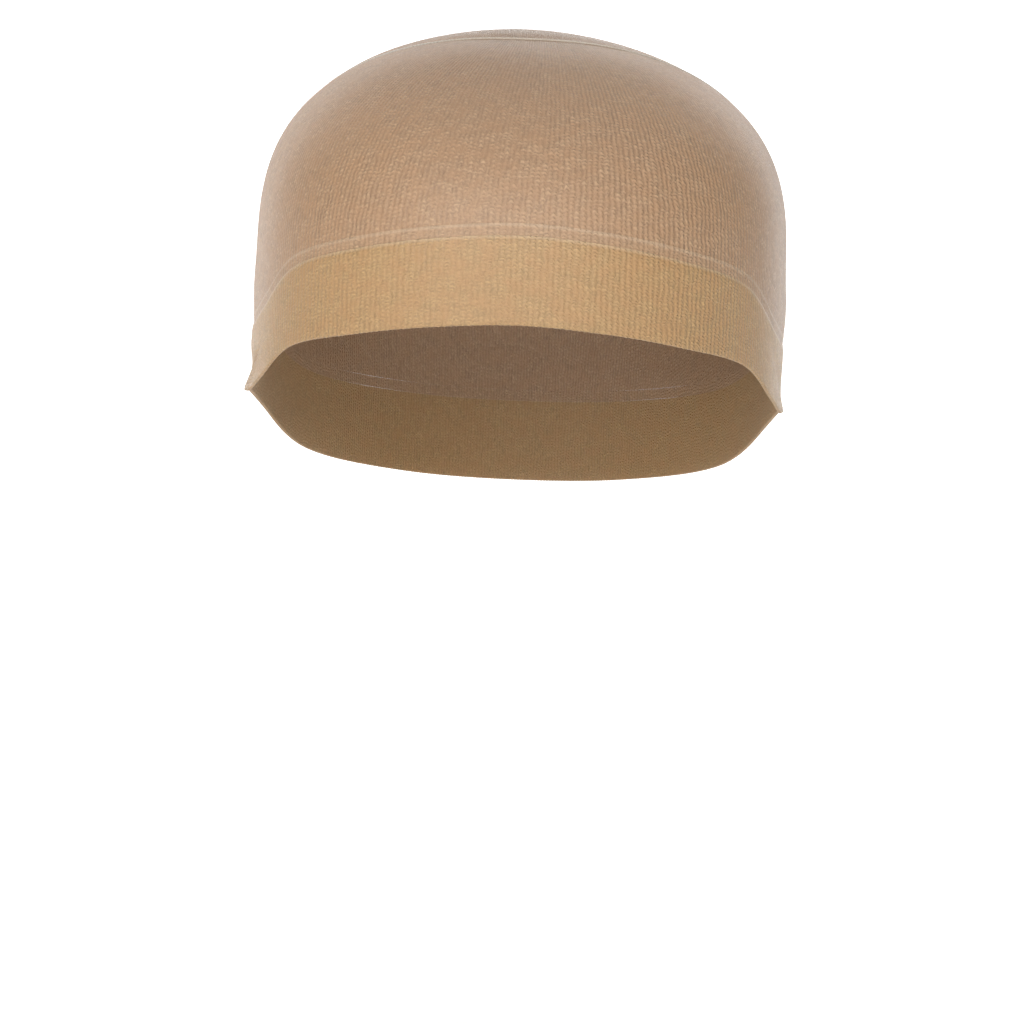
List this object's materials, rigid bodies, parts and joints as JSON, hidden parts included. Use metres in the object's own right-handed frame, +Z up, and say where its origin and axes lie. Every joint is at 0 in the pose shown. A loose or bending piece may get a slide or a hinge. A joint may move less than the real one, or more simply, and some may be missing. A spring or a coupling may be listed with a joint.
{
  "type": "wig cap",
  "caption": "Close-fitting sheer knitted cap in its worn form: a hollow dome with a double elastic band at the rim and a closing seam across the top.",
  "frame": {"origin": "inside top of the crown, where the top of the wearer's head sits", "axes": "+Z up, -Y towards the front of the cap, +X towards the wearer's left"},
  "size_m": [0.1552, 0.1886, 0.1407],
  "materials": {
    "sheer_knit": "fine sheer nylon stocking knit, matt tan with a faint pale sheen",
    "dense_knit": "denser stocking knit, matt tan beige",
    "elastic_band": "double layer of elastic knit, matt golden beige",
    "seam_thread": "overlocked thread seam, matt pale beige"
  },
  "bodies": {
    "root": {"crown": "sheer_knit", "after_welt": "dense_knit", "welt_band": "elastic_band", "toe_seam": "seam_thread"}
  },
  "joints": []
}
